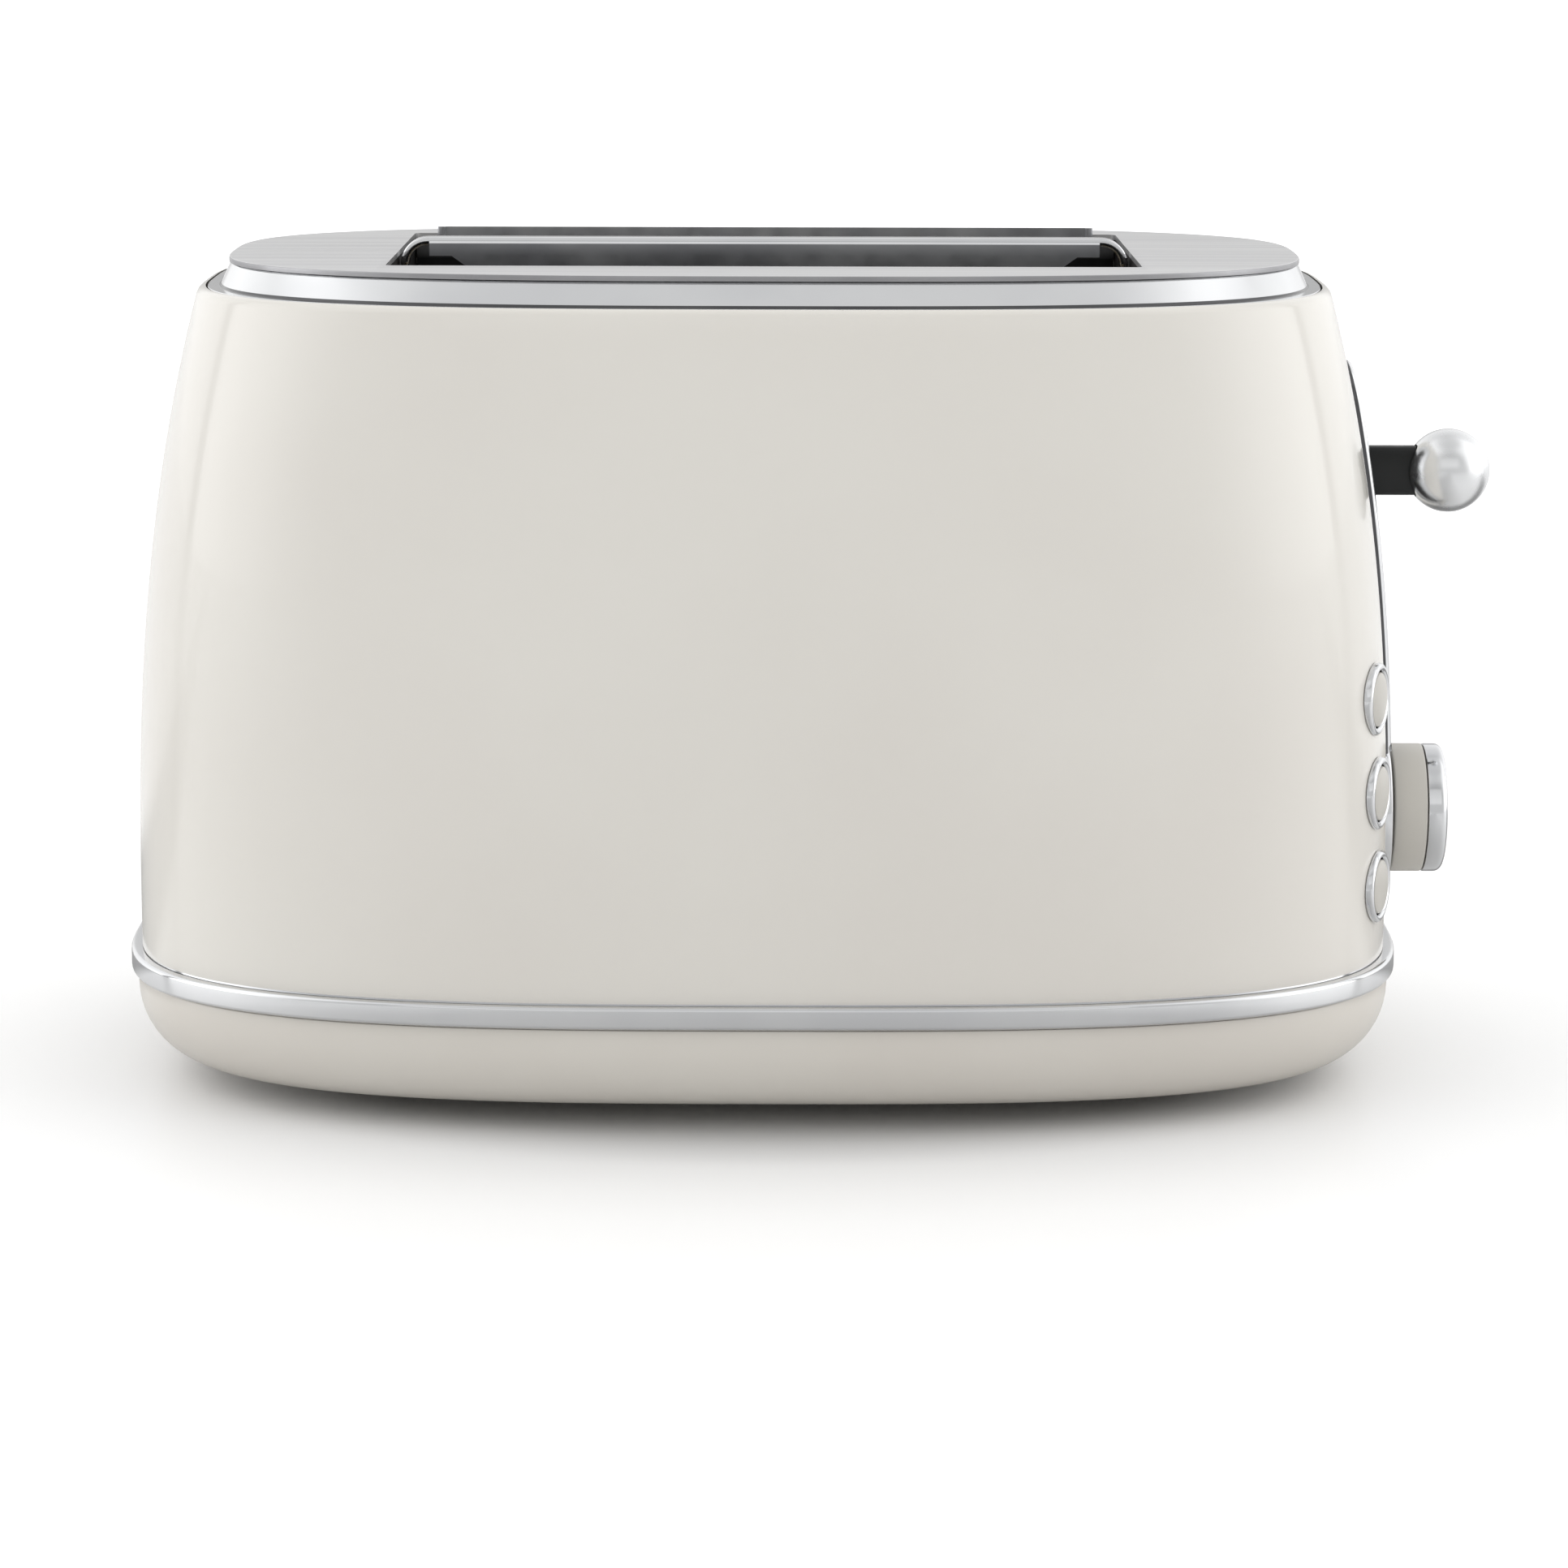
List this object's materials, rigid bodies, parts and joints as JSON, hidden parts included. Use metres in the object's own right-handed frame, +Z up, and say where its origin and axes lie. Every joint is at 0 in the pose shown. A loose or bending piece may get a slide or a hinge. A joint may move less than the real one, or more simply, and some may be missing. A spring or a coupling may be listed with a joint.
{
  "type": "pop up toaster",
  "caption": "Retro pop-up toaster: painted shell, brushed slotted top plate, sprung bread carriage, browning knob, push buttons and a rear crumb tray.",
  "frame": {"origin": "on the surface it stands on, under the middle of its overall outline, lever included", "axes": "+Z up, +X along the slots towards the lever and knob, -Y towards the front"},
  "size_m": [0.3094, 0.176, 0.1878],
  "materials": {
    "cream_paint": "gloss cream enamel",
    "cream_plastic": "gloss cream moulding",
    "chrome": "polished",
    "brushed_plate": "fine lengthwise brush",
    "sheet_steel": "mill finish",
    "dark_plastic": "fine matte",
    "foot_rubber": "matte",
    "mica": "flaky, slightly glossy",
    "heating_ribbon": "dull drawn strip",
    "nylon": "natural moulding",
    "circuit_board": "solder mask",
    "copper_wire": "varnished winding"
  },
  "bodies": {
    "casing": {"body_shell": "cream_paint", "base_bowl": "cream_plastic", "base_band": "chrome", "top_collar": "chrome", "slot_divider": "chrome", "lever_trim": "chrome", "knob_ring": "chrome", "button_bezel_1": "chrome", "button_bezel_2": "chrome", "button_bezel_3": "chrome", "guide_rod_front": "chrome", "guide_rod_rear": "chrome", "return_spring": "chrome", "chassis_screw_1": "chrome", "chassis_screw_2": "chrome", "chassis_screw_3": "chrome", "chassis_screw_4": "chrome", "top_plate": "brushed_plate", "chassis_plate": "sheet_steel", "end_plate_left": "sheet_steel", "end_plate_right": "sheet_steel", "reflector_front": "sheet_steel", "reflector_rear": "sheet_steel", "rod_bracket": "sheet_steel", "magnet_core": "sheet_steel", "cord_gland": "dark_plastic", "potentiometer": "dark_plastic", "foot_1": "foot_rubber", "foot_2": "foot_rubber", "foot_3": "foot_rubber", "foot_4": "foot_rubber", "heater_board_front": "mica", "heater_board_centre": "mica", "heater_board_rear": "mica", "heater_ribbon_1": "heating_ribbon", "heater_ribbon_2": "heating_ribbon", "heater_ribbon_3": "heating_ribbon", "heater_ribbon_4": "heating_ribbon", "control_board": "circuit_board", "magnet_coil": "copper_wire"},
    "carriage": {"carriage_plate": "sheet_steel", "carriage_slider": "nylon", "lever_stem": "dark_plastic", "lever_ball": "chrome", "armature": "sheet_steel", "bread_rack_front": "chrome", "bread_rack_rear": "chrome"},
    "guard_1": {"bread_guard_1": "chrome"},
    "guard_2": {"bread_guard_2": "chrome"},
    "guard_3": {"bread_guard_3": "chrome"},
    "guard_4": {"bread_guard_4": "chrome"},
    "knob": {"knob_body": "cream_plastic", "knob_cap": "chrome", "knob_shaft": "sheet_steel"},
    "button_1": {"button_cap_1": "cream_plastic"},
    "button_2": {"button_cap_2": "cream_plastic"},
    "button_3": {"button_cap_3": "cream_plastic"},
    "drawer": {"crumb_tray": "sheet_steel", "tray_face": "cream_plastic"}
  },
  "joints": [
    {"name": "carriage_slide", "type": "slide", "parent": "casing", "child": "carriage", "axis": [0, 0, 1], "range_m": [-0.046, 0.01], "stiffness_N_per_m": 180, "springref_m": 0.0079, "deforming": ["return_spring"]},
    {"name": "guard_1_close", "type": "slide", "parent": "casing", "child": "guard_1", "axis": [0, 1, 0], "range_m": [-0.0012, 0.0051]},
    {"name": "guard_2_close", "type": "slide", "parent": "casing", "child": "guard_2", "axis": [0, -1, 0], "range_m": [-0.0012, 0.0051]},
    {"name": "guard_3_close", "type": "slide", "parent": "casing", "child": "guard_3", "axis": [0, 1, 0], "range_m": [-0.0012, 0.0051]},
    {"name": "guard_4_close", "type": "slide", "parent": "casing", "child": "guard_4", "axis": [0, -1, 0], "range_m": [-0.0012, 0.0051]},
    {"name": "knob_turn", "type": "hinge", "parent": "casing", "child": "knob", "pos_m": [0.13343, 0, 0.057], "axis": [1, 0, 0], "range_deg": [-135, 135]},
    {"name": "button_1_press", "type": "slide", "parent": "casing", "child": "button_1", "axis": [0.9349, -0.3549, 0], "range_m": [-0.0015, 0], "stiffness_N_per_m": 400},
    {"name": "button_2_press", "type": "slide", "parent": "casing", "child": "button_2", "axis": [0.9345, -0.356, 0], "range_m": [-0.0015, 0], "stiffness_N_per_m": 400},
    {"name": "button_3_press", "type": "slide", "parent": "casing", "child": "button_3", "axis": [0.9331, -0.3595, 0], "range_m": [-0.0015, 0], "stiffness_N_per_m": 400},
    {"name": "drawer_slide", "type": "slide", "parent": "casing", "child": "drawer", "axis": [0, 1, 0], "range_m": [0, 0.12]}
  ],
  "couplings": [
    {"joint": "guard_1_close", "follows": "carriage_slide", "ratio": -0.1087},
    {"joint": "guard_2_close", "follows": "carriage_slide", "ratio": -0.1087},
    {"joint": "guard_3_close", "follows": "carriage_slide", "ratio": -0.1087},
    {"joint": "guard_4_close", "follows": "carriage_slide", "ratio": -0.1087}
  ]
}
